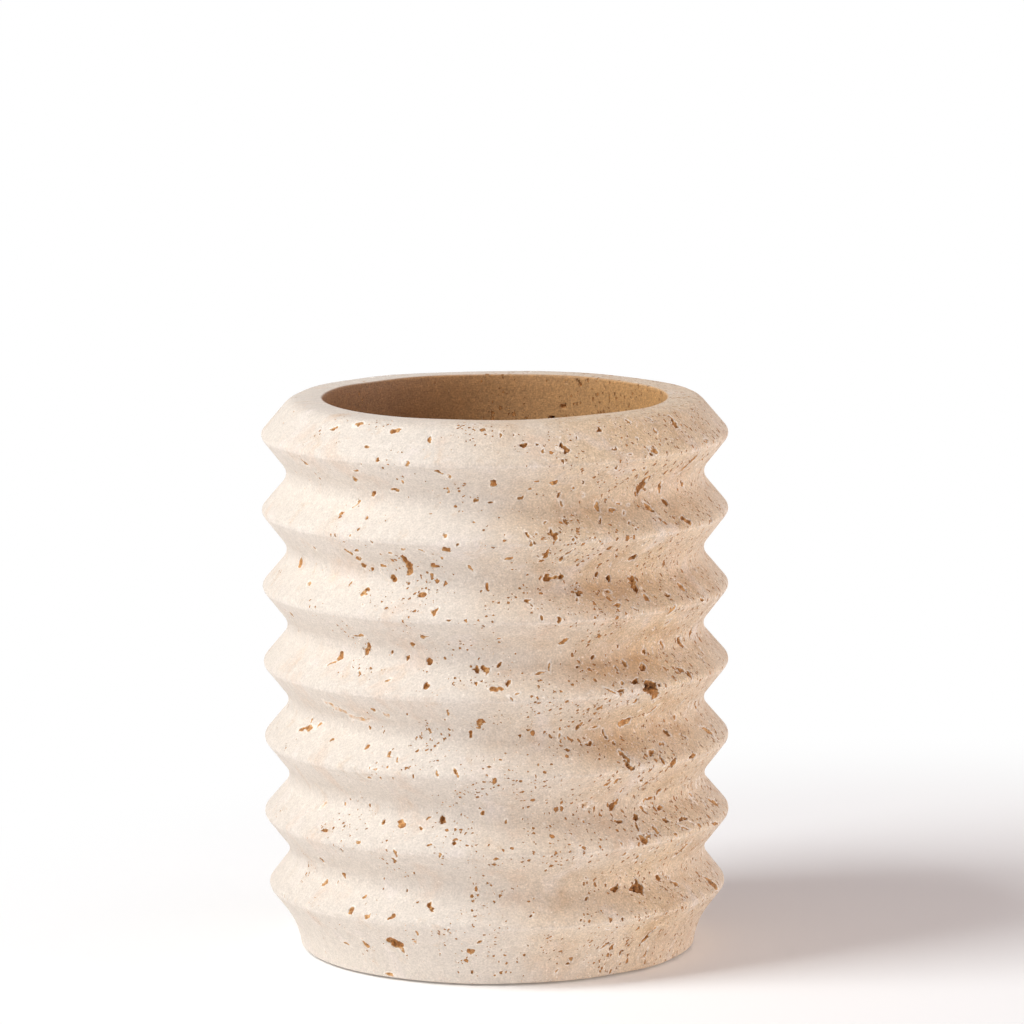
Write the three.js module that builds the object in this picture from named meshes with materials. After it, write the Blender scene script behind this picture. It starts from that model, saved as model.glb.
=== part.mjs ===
// A desk pen holder turned from one block of travertine. Seven ridges run round the outside like the folds
// of a bellows, the rim is a flat land with soft edges, and the well is a plain bore with a flat floor.
// Four rubber pads are glued in a shallow recess under the base, so that the stone stands just clear of the
// desk. Millimetres, +Z up. The origin is on the desk, on the axis that the cup was turned about.

import * as THREE from "three";

// The well
const boreRadius = 33.1;
const floorThickness = 8.7; // between the well's floor and the recess under it
const boreCornerRounding = 3;
const boreLipRounding = 0.5;

// The ridges round the outside
const wallAtGroove = 7.2;
const ridgeDepth = 4.7; // from a groove out to a ridge
const ridgeCount = 7;
const ridgePitch = 14.75;
const ridgeRounding = 1.3;
const grooveRounding = 3.2;
const grooveDrop = 0.2; // a groove lies this far below the middle between its two ridges
const lastRidgeToRim = 7;
const rimRounding = 3.5;

// The foot. Its flare cuts into the lowest ridge, which is left a little smaller and higher than the pattern.
const baseToPattern = 11.6; // from the underside to where the pattern's lowest ridge would lie
const lowestRidgeLoss = 0.8; // of radius
const lowestRidgeLift = 0.65;
const footInset = 2; // from the bottom of a groove in to the foot's edge
const footLean = THREE.MathUtils.degToRad(8); // of the foot's wall from upright, at the underside
const footEdgeRounding = 0.5;

// The recess under the base, and the pads in it
const recessDepth = 1.3;
const footRingWidth = 6; // from the recess to the foot's edge
const padCount = 4;
const padRadius = 6;
const padStandsProud = 0.4; // below the stone
const padEdgeRounding = 0.3;
const padInset = 2; // between a pad and the recess's wall
const glueFilm = 0.1;

// Facets
const stoneSegments = 64;
const padSegments = 32;
const ridgeSteps = 2;
const grooveSteps = 3;
const edgeSteps = 3;
const flareSteps = 5;

// Radii and heights that follow from those
const grooveRadius = boreRadius + wallAtGroove;
const ridgeRadius = grooveRadius + ridgeDepth;
const footRadius = grooveRadius - footInset;
const recessRadius = footRadius - footRingWidth;
const padThickness = recessDepth + padStandsProud - glueFilm;
const padCircleRadius = recessRadius - padInset - padRadius;
const undersideHeight = padStandsProud;
const recessCeiling = undersideHeight + recessDepth;
const wellFloor = recessCeiling + floorThickness;
const patternStart = undersideHeight + baseToPattern;
const height = patternStart + (ridgeCount - 1) * ridgePitch + lastRidgeToRim;

// A profile point is (radius, height).
const at = (radius, z) => new THREE.Vector2(radius, z);

// Points on an arc round a centre, from one angle to another. Angle 0 points away from the axis, and a
// quarter turn points up.
function arc(centre, radius, from, to, steps) {
  const points = [];
  for (let i = 0; i <= steps; i++) {
    const angle = from + ((to - from) * i) / steps;
    points.push(at(centre.x + radius * Math.cos(angle), centre.y + radius * Math.sin(angle)));
  }
  return points;
}

// How far the straight flank between a ridge and a groove leans from upright, given the centres of their
// rounded edges. The flank touches both edges, so that rise * sin(lean) + reach * cos(lean) is the sum of
// the two roundings.
function flankLean(ridge, groove) {
  const rise = Math.abs(groove.y - ridge.y);
  const reach = groove.x - ridge.x;
  const roundings = ridgeRounding + grooveRounding;
  return Math.asin(roundings / Math.hypot(rise, reach)) - Math.atan2(reach, rise);
}

// The centre of the rounded groove under a ridge of the pattern, given that ridge's height
const grooveUnder = (z) => at(grooveRadius + grooveRounding, z - ridgePitch / 2 - grooveDrop);

// The centres of the rounded ridges and of the grooves between them, from the lowest up
const ridges = [at(ridgeRadius - lowestRidgeLoss - ridgeRounding, patternStart + lowestRidgeLift)];
const grooves = [];
for (let i = 1; i < ridgeCount; i++) {
  const z = patternStart + i * ridgePitch;
  ridges.push(at(ridgeRadius - ridgeRounding, z));
  grooves.push(grooveUnder(z));
}
const lowestRidge = ridges[0];
const topRidge = ridges[ridgeCount - 1];

// The ordinary lean of a flank that faces down or up, as between two full ridges
const leanBelow = flankLean(topRidge, grooves[ridgeCount - 2]);
const leanAbove = flankLean(topRidge, grooveUnder(topRidge.y + ridgePitch));

// The foot's rounded edge, its leaning wall and the flare. The wall's line and the lowest flank's line meet
// at a corner, and the flare is the arc that touches both at equal distances from it, starting where the
// rounded edge ends.
function foot() {
  const edgeReach = footEdgeRounding * Math.tan((Math.PI / 2 + footLean) / 2);
  const edgeCentre = at(footRadius - edgeReach, undersideHeight + footEdgeRounding);
  const edge = arc(edgeCentre, footEdgeRounding, -Math.PI / 2, -footLean, edgeSteps);

  const start = edge[edge.length - 1];
  const end = at(
    lowestRidge.x + ridgeRounding * Math.cos(leanBelow),
    lowestRidge.y - ridgeRounding * Math.sin(leanBelow),
  );
  const reach = end.x - start.x - Math.tan(footLean) * (end.y - start.y);
  const cornerHeight = end.y - reach / (Math.tan(leanBelow) - Math.tan(footLean));
  const cornerDistance = (cornerHeight - start.y) / Math.cos(footLean);
  const radius = cornerDistance / Math.tan((leanBelow - footLean) / 2);
  const centre = at(start.x + radius * Math.cos(footLean), start.y - radius * Math.sin(footLean));
  const flare = arc(centre, radius, Math.PI - footLean, Math.PI - leanBelow, flareSteps);
  return [...edge, ...flare.slice(1)];
}

// The ridges and grooves, from the lowest ridge up to the flank above the top one
function pleats() {
  const points = [];
  ridges.forEach((ridge, i) => {
    const below = i > 0 ? flankLean(ridge, grooves[i - 1]) : leanBelow;
    const above = i < grooves.length ? flankLean(ridge, grooves[i]) : leanAbove;
    points.push(...arc(ridge, ridgeRounding, -below, above, ridgeSteps));
    if (i < grooves.length) {
      const next = flankLean(ridges[i + 1], grooves[i]);
      points.push(...arc(grooves[i], grooveRounding, Math.PI + above, Math.PI - next, grooveSteps));
    }
  });
  return points;
}

// The soft edge where the top flank runs into the rim's land
function rimEdge() {
  const flankAtRim =
    topRidge.x + ridgeRounding / Math.cos(leanAbove) - lastRidgeToRim * Math.tan(leanAbove);
  const reach = rimRounding * Math.tan((Math.PI / 2 - leanAbove) / 2);
  return arc(at(flankAtRim - reach, height - rimRounding), rimRounding, leanAbove, Math.PI / 2, edgeSteps);
}

// The well, from the rim's inner lip down to the middle of its floor
function well() {
  const lip = at(boreRadius + boreLipRounding, height - boreLipRounding);
  const corner = at(boreRadius - boreCornerRounding, wellFloor + boreCornerRounding);
  return [
    ...arc(lip, boreLipRounding, Math.PI / 2, Math.PI, edgeSteps),
    ...arc(corner, boreCornerRounding, 0, -Math.PI / 2, edgeSteps),
    at(0, wellFloor),
  ];
}

// A solid turned about the Z axis from a profile that starts and ends on it
function turned(profile, segments) {
  return new THREE.LatheGeometry(profile, segments).rotateX(Math.PI / 2);
}

function stoneCup() {
  const recess = [at(0, recessCeiling), at(recessRadius, recessCeiling), at(recessRadius, undersideHeight)];
  const profile = [...recess, ...foot(), ...pleats(), ...rimEdge(), ...well()];
  const travertine = new THREE.MeshStandardMaterial({ color: 0xe3cdb0, roughness: 0.72, metalness: 0 });
  const mesh = new THREE.Mesh(turned(profile, stoneSegments), travertine);
  mesh.name = "stone_cup";
  return mesh;
}

// A pad is a punched rubber disc. Its lower edge is rounded, and a film of glue lies between it and the stone.
function footPad(number) {
  const edge = at(padRadius - padEdgeRounding, padEdgeRounding);
  const profile = [
    at(0, 0),
    ...arc(edge, padEdgeRounding, -Math.PI / 2, 0, edgeSteps),
    at(padRadius, padThickness),
    at(0, padThickness),
  ];
  const rubber = new THREE.MeshStandardMaterial({ color: 0x2b2826, roughness: 0.85, metalness: 0 });
  const mesh = new THREE.Mesh(turned(profile, padSegments), rubber);
  const turn = ((number - 0.5) * 2 * Math.PI) / padCount;
  mesh.position.set(padCircleRadius * Math.cos(turn), padCircleRadius * Math.sin(turn), 0);
  mesh.name = `foot_pad_${number}`;
  return mesh;
}

const penHolder = new THREE.Group();
penHolder.add(stoneCup());
for (let number = 1; number <= padCount; number++) penHolder.add(footPad(number));

export default penHolder;
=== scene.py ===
# %% [markdown]
# # A pen holder of honed travertine
#
# The cup is one block of stone. It was turned and bored on a lathe, honed to a matt finish and left unfilled,
# so that the pits which gas and plants once left in the rock stay open. The lesson goes from the outline to
# the pits, then to a mesh that is fine only where it has to be, and then to the finishes, the lamps and the
# camera. Sizes are in millimetres until a mesh is made, because that is how a turner thinks of them.

# %% Load the frame
import math

import bpy
import numpy as np
from mathutils import Matrix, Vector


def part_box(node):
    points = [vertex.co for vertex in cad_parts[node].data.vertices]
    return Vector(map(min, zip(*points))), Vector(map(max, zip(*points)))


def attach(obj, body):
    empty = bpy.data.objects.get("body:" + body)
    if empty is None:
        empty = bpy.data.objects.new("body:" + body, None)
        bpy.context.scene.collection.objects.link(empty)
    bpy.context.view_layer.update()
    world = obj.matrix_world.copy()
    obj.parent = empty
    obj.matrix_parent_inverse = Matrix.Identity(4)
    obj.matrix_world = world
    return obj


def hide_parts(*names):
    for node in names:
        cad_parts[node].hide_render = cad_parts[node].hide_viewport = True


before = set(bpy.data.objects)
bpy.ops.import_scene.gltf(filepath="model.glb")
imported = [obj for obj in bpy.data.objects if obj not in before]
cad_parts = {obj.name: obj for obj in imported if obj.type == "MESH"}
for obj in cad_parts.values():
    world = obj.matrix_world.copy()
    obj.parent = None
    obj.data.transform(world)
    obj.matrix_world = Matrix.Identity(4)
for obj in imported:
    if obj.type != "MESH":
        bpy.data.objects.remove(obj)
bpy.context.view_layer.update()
stone_low, stone_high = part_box("stone_cup")
MM = 0.001
print("CAD nodes:", sorted(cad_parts))

# %% [markdown]
# ## The outline
#
# A turned piece is one profile carried round an axis. Here the profile starts in the middle of the recess
# under the base, runs out under the foot, up the pleated outside, in over the rim, down the well and along
# its floor to the axis again. It could be a curve drawn by hand with a Screw modifier, but a list of straight
# and round stretches keeps every radius exact, and each point knows how far along the profile it lies, which
# the pits need later. The height and the widest radius come from the frame.

# %% Sizes of the outline, in millimetres
rim_height = stone_high.z / MM
underside = stone_low.z / MM
ridge_radius = stone_high.x / MM

ridge_depth = 4.7
ridge_count = 7
ridge_pitch = 14.75
ridge_rounding = 1.3
groove_rounding = 3.2
groove_drop = 0.2
last_ridge_to_rim = 7
rim_rounding = 3.5

lowest_ridge_loss = 0.8
lowest_ridge_lift = 0.65
foot_inset = 2
foot_lean = math.radians(8)
foot_edge_rounding = 0.5

wall_at_groove = 7.2
bore_lip_rounding = 0.5
bore_corner_rounding = 3
floor_thickness = 8.7
recess_depth = 1.3
foot_ring_width = 6

groove_radius = ridge_radius - ridge_depth
bore_radius = groove_radius - wall_at_groove
foot_radius = groove_radius - foot_inset
recess_radius = foot_radius - foot_ring_width
recess_ceiling = underside + recess_depth
well_floor = recess_ceiling + floor_thickness
top_ridge_height = rim_height - last_ridge_to_rim
print(f"groove {groove_radius:.1f}, bore {bore_radius:.1f}, foot {foot_radius:.1f}, rim {rim_height:.1f}")


# %% Straight and round stretches
def straight(start, end):
    """A straight stretch: start + t * (end - start), with t from 0 to 1."""
    start, end = np.array(start, float), np.array(end, float)
    return {
        "at": lambda t: start + np.outer(t, end - start),
        "length": np.linalg.norm(end - start),
        "turn": 0,
    }


def bend(centre, radius, first, last):
    """A round stretch: centre + radius * (cos a, sin a), with a going evenly from first to last."""

    def at(t):
        a = first + np.asarray(t) * (last - first)
        return np.array(centre) + radius * np.stack([np.cos(a), np.sin(a)], axis=1)

    return {"at": at, "length": radius * abs(last - first), "turn": abs(last - first)}


def joined(stretches):
    """The stretches in order, with a straight one wherever one ends and the next starts elsewhere."""
    path = [stretches[0]]
    for stretch in stretches[1:]:
        end, start = path[-1]["at"]([1])[0], stretch["at"]([0])[0]
        if np.linalg.norm(start - end) > 1e-6:
            path.append(straight(end, start))
        path.append(stretch)
    return path


# %% [markdown]
# ### Ridges and grooves
#
# Each ridge and each groove is rounded, and a straight flank touches both round edges. With the two centres a
# rise and a reach apart, the flank's lean from upright is the angle at which rise * sin(lean) +
# reach * cos(lean) equals the sum of the two radii. The foot's flare is one long arc that touches the foot's
# wall and the lowest flank, and it cuts the lowest ridge a little smaller and higher than the pattern.


# %% The outside of the stone
def flank_lean(ridge, groove):
    """The angle from upright at which a line touches a ridge's and a groove's round edge."""
    rise, reach = abs(groove[1] - ridge[1]), groove[0] - ridge[0]
    roundings = ridge_rounding + groove_rounding
    return math.asin(roundings / math.hypot(rise, reach)) - math.atan2(reach, rise)


def groove_under(height):
    """The centre of the groove under a ridge of the pattern at that height."""
    return (groove_radius + groove_rounding, height - ridge_pitch / 2 - groove_drop)


pattern = [top_ridge_height - i * ridge_pitch for i in range(ridge_count - 1, -1, -1)]
lowest_ridge = (ridge_radius - lowest_ridge_loss - ridge_rounding, pattern[0] + lowest_ridge_lift)
ridges = [lowest_ridge] + [(ridge_radius - ridge_rounding, height) for height in pattern[1:]]
grooves = [groove_under(height) for height in pattern[1:]]
lean_below = flank_lean(ridges[-1], grooves[-1])
lean_above = flank_lean(ridges[-1], groove_under(top_ridge_height + ridge_pitch))


def foot():
    """The foot's round edge, and the flare that touches its wall and the lowest flank."""
    edge_reach = foot_edge_rounding * math.tan((math.pi / 2 + foot_lean) / 2)
    edge_centre = (foot_radius - edge_reach, underside + foot_edge_rounding)
    edge = bend(edge_centre, foot_edge_rounding, -math.pi / 2, -foot_lean)
    start = edge["at"]([1])[0]
    end = np.array(lowest_ridge) + ridge_rounding * np.array([math.cos(lean_below), -math.sin(lean_below)])
    reach = end[0] - start[0] - math.tan(foot_lean) * (end[1] - start[1])
    corner_height = end[1] - reach / (math.tan(lean_below) - math.tan(foot_lean))
    corner_distance = (corner_height - start[1]) / math.cos(foot_lean)
    radius = corner_distance / math.tan((lean_below - foot_lean) / 2)
    centre = start + radius * np.array([math.cos(foot_lean), -math.sin(foot_lean)])
    return [edge, bend(centre, radius, math.pi - foot_lean, math.pi - lean_below)]


def pleats():
    """Ridge and groove in turn, from the lowest ridge up. The straight flanks between them are joined in
    later."""
    stretches = []
    for i, ridge in enumerate(ridges):
        below = flank_lean(ridge, grooves[i - 1]) if i > 0 else lean_below
        above = flank_lean(ridge, grooves[i]) if i < len(grooves) else lean_above
        stretches.append(bend(ridge, ridge_rounding, -below, above))
        if i < len(grooves):
            following = flank_lean(ridges[i + 1], grooves[i])
            stretches.append(bend(grooves[i], groove_rounding, math.pi + above, math.pi - following))
    return stretches


def rim_and_well():
    """The rim's soft outer edge, its small inner lip, and the round corner at the well's floor."""
    flank_at_rim = (
        ridges[-1][0] + ridge_rounding / math.cos(lean_above) - last_ridge_to_rim * math.tan(lean_above)
    )
    reach = rim_rounding * math.tan((math.pi / 2 - lean_above) / 2)
    rim = (flank_at_rim - reach, rim_height - rim_rounding)
    lip = (bore_radius + bore_lip_rounding, rim_height - bore_lip_rounding)
    corner = (bore_radius - bore_corner_rounding, well_floor + bore_corner_rounding)
    return [
        bend(rim, rim_rounding, lean_above, math.pi / 2),
        bend(lip, bore_lip_rounding, math.pi / 2, math.pi),
        bend(corner, bore_corner_rounding, 0, -math.pi / 2),
    ]


recess = [
    straight((0, recess_ceiling), (recess_radius, recess_ceiling)),
    straight((recess_radius, recess_ceiling), (recess_radius, underside)),
]
well_end = straight((bore_radius - bore_corner_rounding, well_floor), (0, well_floor))
outline = joined(recess + foot() + pleats() + rim_and_well() + [well_end])
print(f"the outline has {len(outline)} stretches, {sum(s['length'] for s in outline):.0f} mm in all")

# %% [markdown]
# ## A lattice on the surface
#
# The surface is a function of two parameters: the distance along the profile and the angle round the axis.
# A fine lattice of both covers the whole cup, with its points up to about a quarter of a millimetre apart. It
# is used to work out the pits, and the mesh later takes only the lattice points that it needs. Rows come in
# blocks, and each block has 1, 2, 4 or 8 rows, so that a block can be halved again and again.

# %% Rows and columns
block_length = 2.2
block_turn = math.radians(22.5)
row_spacing = 0.28
column_count = 1024


def rows_along(stretches):
    """Cuts each stretch into equal blocks, and each block into 1, 2, 4 or 8 rows about row_spacing apart."""
    points, block_rows = [], []
    for stretch in stretches:
        blocks = max(1, math.ceil(stretch["length"] / block_length), math.ceil(stretch["turn"] / block_turn))
        halvings = math.ceil(math.log2(stretch["length"] / blocks / row_spacing))
        rows = 2 ** min(max(halvings, 0), 3)
        points.append(stretch["at"](np.arange(blocks * rows) / (blocks * rows)))
        block_rows += [rows] * blocks
    points.append(stretches[-1]["at"]([1]))
    return np.concatenate(points), np.array(block_rows)


rows, block_rows = rows_along(outline)
row_radius, row_height = rows[:, 0].clip(0), rows[:, 1]
row_along = np.append(0, np.cumsum(np.linalg.norm(np.diff(rows, axis=0), axis=1)))
steps = np.gradient(rows, axis=0)
steps /= np.linalg.norm(steps, axis=1, keepdims=True)
outward = np.stack([steps[:, 1], -steps[:, 0]], axis=1)

# Angle 0 is the front, -Y, and the angle grows to the right. The first column lies at the back.
column_angle = np.arange(column_count) / column_count * 2 * np.pi - np.pi
print(f"lattice: {len(rows)} rows by {column_count} columns, in {len(block_rows)} blocks of rows")


def placed(inset):
    """Lattice points in millimetres: each point of the profile moved inwards by inset along its normal, and
    carried round to (r sin a, -r cos a, z)."""
    r = row_radius[:, None] - inset * outward[:, :1]
    z = row_height[:, None] - inset * outward[:, 1:]
    return np.stack([r * np.sin(column_angle), -r * np.cos(column_angle), z + 0 * column_angle], axis=-1)


# %% [markdown]
# ## Pits
#
# Travertine grows in beds, and its pits lie in them. The block was cut with its beds upright and facing the
# viewer, so the pits gather in upright streaks where a bed meets the surface. On the front they are round or
# ragged, and towards the sides they are slots that follow the zigzag. They could be cut with booleans, but
# hundreds of those are slow and leave poor faces. Here each pit is a bowl in a depth map on the lattice. Sums
# of plane waves bend the bowls' outlines, so that no two are alike.


# %% Smooth irregular fields
def ripple(points, wavelength, seed, count=14):
    """A smooth random field about 1 high: the sum of sines of plane waves in random directions, with lengths
    between 0.6 and 1.8 wavelengths, divided by the root of half their number."""
    rng = np.random.default_rng(seed)
    direction = rng.normal(size=(count, 3))
    direction /= np.linalg.norm(direction, axis=1, keepdims=True)
    wave = direction * (2 * np.pi / (wavelength * rng.uniform(0.6, 1.8, (count, 1))))
    phase = rng.uniform(0, 2 * np.pi, count)
    total = np.zeros(points.shape[:-1], np.float32)
    for k in range(count):
        total += np.sin(points @ wave[k].astype(np.float32) + np.float32(phase[k]))
    return total / math.sqrt(count / 2)


untouched = placed(np.zeros((len(rows), 1))).astype(np.float32)
warp_across = ripple(untouched, 1.8, seed=1) + 0.6 * ripple(untouched, 0.8, seed=4)
warp_along = ripple(untouched, 1.8, seed=2) + 0.6 * ripple(untouched, 0.8, seed=6)
roughness_inside = ripple(untouched, 0.9, seed=3)
print(f"warp fields from {warp_across.min():.1f} to {warp_across.max():.1f}")

# %% Pits on the front
# The pits that show in the front view, listed one by one. Each pit is: mm to the right of the axis, mm above
# the desk, its breadth and its length in mm, and how many degrees its length leans to the right of upright.
above_top_ridge = [
    (-30.3, 105.2, 0.6, 1.2, 60), (-25.2, 106.6, 0.7, 1.7, 75), (-18.7, 105.8, 0.8, 1.9, 60),
    (-16.4, 100.5, 0.7, 0.9, 0), (-24.0, 103.0, 0.6, 0.7, 0), (-22.0, 100.7, 0.5, 0.6, 20),
    (-12.1, 104.6, 0.6, 1.2, 0), (1.0, 105.4, 0.5, 0.5, 0), (5.5, 104.1, 0.9, 1.4, 40),
    (7.8, 104.0, 0.4, 0.7, 80), (8.8, 103.0, 0.4, 0.9, 15), (12.9, 103.4, 0.9, 1.7, -20),
    (12.7, 100.9, 0.4, 0.7, 0), (11.6, 103.3, 0.3, 0.9, 0), (19.5, 105.9, 0.7, 1.2, 0),
    (22.3, 102.6, 0.6, 1.0, 70), (26.6, 103.8, 0.4, 0.5, 0), (29.9, 101.6, 0.7, 1.2, -45),
    (29.3, 100.9, 0.4, 1.0, -30), (30.2, 104.7, 0.4, 0.9, 0), (33.5, 106.1, 0.5, 1.2, -15),
    (34.2, 105.1, 0.8, 1.6, -10), (29.0, 106.8, 0.4, 0.8, -30), (40.0, 101.4, 0.4, 0.9, 0),
]
under_top_ridge = [
    (-26.0, 98.0, 0.5, 1.1, 80), (-26.3, 96.0, 0.6, 0.8, -20), (-21.0, 99.0, 0.4, 0.6, 70),
    (-36.0, 98.0, 0.4, 1.2, -30), (-18.8, 94.7, 0.6, 1.8, 75), (-17.2, 96.5, 0.5, 0.5, 0),
    (-10.5, 98.9, 0.4, 1.8, -75), (-8.5, 97.9, 0.8, 1.0, -20), (-0.4, 96.7, 0.9, 1.1, 0),
    (6.4, 95.3, 0.5, 1.0, 80), (7.8, 96.8, 0.4, 0.6, 80), (11.0, 96.5, 0.8, 1.2, 60),
    (14.7, 95.0, 0.6, 0.7, 0), (22.7, 98.8, 0.6, 0.7, 0), (28.2, 98.0, 0.4, 0.5, 0),
    (27.3, 94.0, 1.5, 2.2, 38), (28.4, 95.4, 0.6, 1.6, 40), (31.2, 93.3, 0.7, 2.0, 5),
    (35.4, 93.0, 0.4, 1.3, -30), (36.9, 97.4, 0.6, 3.4, 28), (39.5, 97.5, 0.3, 2.0, 28),
    (-8.7, 94.8, 0.6, 0.9, 20), (4.7, 93.6, 0.7, 1.0, 80), (-3.7, 93.2, 0.7, 0.9, 80),
    (-0.9, 92.9, 0.5, 1.3, 85), (12.3, 92.2, 0.5, 1.3, -15), (12.0, 94.0, 0.5, 0.9, 0),
    (-22.7, 93.5, 0.6, 1.2, 80), (31.9, 90.9, 0.8, 1.0, -30),
]
above_second_ridge = [
    (-26.1, 91.2, 0.6, 2.0, 30), (-28.9, 89.6, 0.6, 1.1, 70), (-9.4, 86.9, 0.8, 1.2, -50),
    (-30.3, 85.8, 0.5, 0.8, 0), (19.2, 91.4, 0.8, 1.8, -10), (21.8, 90.5, 0.8, 1.3, 75),
    (29.2, 89.9, 0.6, 2.5, -25), (36.1, 87.2, 0.9, 1.7, -45), (5.8, 87.3, 0.4, 1.3, -20),
    (10.9, 87.1, 0.8, 2.2, -15), (13.1, 89.2, 0.4, 1.2, -20), (9.2, 89.3, 0.4, 0.8, 70),
    (6.7, 85.6, 0.7, 0.9, 45), (14.6, 85.9, 0.4, 1.0, 0),
]
under_second_ridge = [
    (-7.0, 85.3, 0.4, 0.7, 85), (-9.1, 84.4, 0.7, 1.4, 80), (-9.9, 82.6, 0.4, 0.7, 80),
    (-13.6, 83.9, 0.4, 1.4, -70), (-17.2, 84.1, 0.4, 0.8, 80), (-27.6, 82.4, 0.5, 1.2, -60),
    (-26.2, 83.0, 0.4, 0.9, 80), (-25.8, 81.2, 0.6, 1.0, 60), (-24.9, 79.8, 0.6, 1.1, -30),
    (-21.2, 80.1, 0.5, 1.0, 85), (-19.8, 83.2, 0.6, 0.9, 60), (-11.4, 80.9, 0.7, 1.0, 70),
    (-11.9, 78.8, 0.6, 1.2, -10), (-4.7, 80.6, 0.5, 1.6, -30), (2.6, 82.5, 0.5, 1.7, 70),
    (9.5, 83.4, 1.0, 1.7, 35), (12.5, 82.2, 0.6, 1.3, 30), (13.6, 83.3, 0.3, 1.6, 50),
    (25.8, 80.9, 0.9, 1.0, 0), (-34.1, 81.7, 0.4, 0.8, -20), (-17.3, 82.1, 0.9, 1.3, -40),
    (-16.4, 80.8, 1.1, 2.2, -25), (-16.0, 79.3, 1.0, 1.8, 65), (19.3, 78.5, 0.8, 1.0, 30),
    (9.6, 78.5, 1.2, 1.4, 0), (11.0, 78.3, 0.5, 1.6, 85), (12.2, 78.5, 0.6, 1.2, 30),
]
above_third_ridge = [
    (21.1, 77.6, 0.6, 1.2, 0), (-37.2, 77.6, 0.7, 1.3, 30), (-19.1, 77.7, 1.0, 1.5, -30),
    (-35.4, 74.7, 0.5, 0.9, 20), (-24.6, 75.1, 0.9, 1.9, 5), (-13.7, 75.4, 0.7, 1.6, 75),
    (-1.6, 76.8, 0.4, 1.4, -10), (25.8, 76.8, 1.1, 1.3, 0), (26.0, 75.6, 0.8, 2.2, -5),
    (35.3, 74.0, 0.5, 1.6, -15), (32.6, 73.5, 0.6, 0.8, 0), (28.4, 73.5, 0.6, 1.2, -30),
    (22.9, 72.9, 1.0, 1.0, 0), (-11.9, 72.6, 0.5, 1.4, -25), (-11.3, 72.5, 0.5, 1.4, 30),
    (-8.8, 71.3, 0.4, 1.0, 85), (5.9, 74.7, 0.4, 1.4, 85), (6.4, 74.0, 0.4, 1.5, -35),
    (8.5, 71.7, 0.5, 0.9, 0), (11.8, 71.1, 0.8, 1.3, 0), (15.4, 75.4, 0.6, 0.9, 0),
    (15.3, 74.3, 0.4, 1.0, 0), (21.1, 75.3, 0.4, 0.9, -60), (26.1, 71.9, 0.4, 1.0, -50),
    (33.2, 70.3, 0.6, 1.7, 35),
]
under_third_ridge = [
    (-26.0, 66.3, 0.5, 2.4, 80), (-13.5, 67.6, 0.5, 1.4, 85), (-15.5, 65.5, 0.7, 0.8, 0),
    (0.4, 67.3, 0.4, 1.1, 75), (12.8, 66.3, 0.7, 1.7, 50), (-39.0, 68.0, 0.5, 0.9, -20),
    (32.5, 67.8, 0.4, 0.9, 25), (37.2, 63.6, 0.5, 1.3, -5), (31.5, 63.4, 0.5, 1.2, -30),
    (-24.3, 63.7, 0.9, 2.3, 33),
]
above_fourth_ridge = [
    (-29.4, 61.8, 1.0, 1.5, 20), (-31.0, 60.4, 0.4, 1.9, 55), (-16.5, 62.7, 0.7, 1.1, 15),
    (-12.6, 62.2, 0.9, 1.4, 0), (-20.5, 58.9, 0.6, 1.1, 30), (-13.1, 58.3, 1.0, 1.1, 0),
    (-3.7, 61.4, 1.0, 1.2, 0), (-2.2, 61.5, 0.7, 1.4, -60), (-1.6, 61.0, 0.6, 1.4, 20),
    (0.6, 62.4, 0.6, 1.3, 35), (0.4, 60.6, 0.5, 0.7, 80), (2.3, 59.1, 0.8, 1.1, 30),
    (-3.7, 59.1, 0.5, 0.6, 0), (-0.4, 58.0, 0.6, 2.0, 90),
    (0.8, 58.1, 0.6, 0.9, 60), (3.8, 57.3, 0.5, 1.0, 85),
    (10.0, 61.6, 0.4, 1.8, 5), (8.2, 60.6, 0.3, 2.2, 80), (27.8, 62.6, 0.7, 1.0, -20),
    (18.1, 62.9, 0.6, 0.7, 30), (24.2, 61.0, 0.6, 1.3, -20), (22.6, 60.3, 0.5, 1.0, -10),
    (27.6, 60.1, 0.9, 1.2, 75), (35.2, 62.6, 0.4, 2.3, -25), (23.5, 58.0, 0.6, 0.8, 80),
    (23.5, 56.8, 0.5, 1.4, 85), (21.5, 56.9, 0.3, 2.5, -50), (26.2, 58.0, 0.8, 1.3, 60),
    (29.3, 56.4, 2.3, 3.0, -20), (30.0, 54.7, 1.2, 2.2, -25), (30.9, 56.7, 0.5, 0.6, 0),
    (35.1, 58.3, 0.8, 0.9, 0), (36.8, 57.3, 0.6, 1.0, -40),
]
under_fourth_ridge = [
    (-9.1, 53.3, 0.5, 1.3, 0), (-3.0, 51.3, 1.2, 2.0, 45), (2.6, 56.4, 0.4, 1.4, -45),
    (-23.2, 52.9, 0.5, 1.0, -70), (26.3, 54.0, 0.7, 1.2, 10), (29.6, 51.3, 0.5, 1.9, 35),
    (24.2, 49.8, 1.3, 2.3, 62), (34.0, 48.6, 0.5, 1.1, 10), (15.2, 49.3, 0.7, 0.9, 20),
    (18.4, 49.1, 0.3, 1.3, 85), (-4.9, 48.8, 0.6, 1.5, 5), (-12.6, 49.3, 0.5, 1.3, -10),
    (38.2, 49.5, 0.3, 1.8, -25),
]
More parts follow.
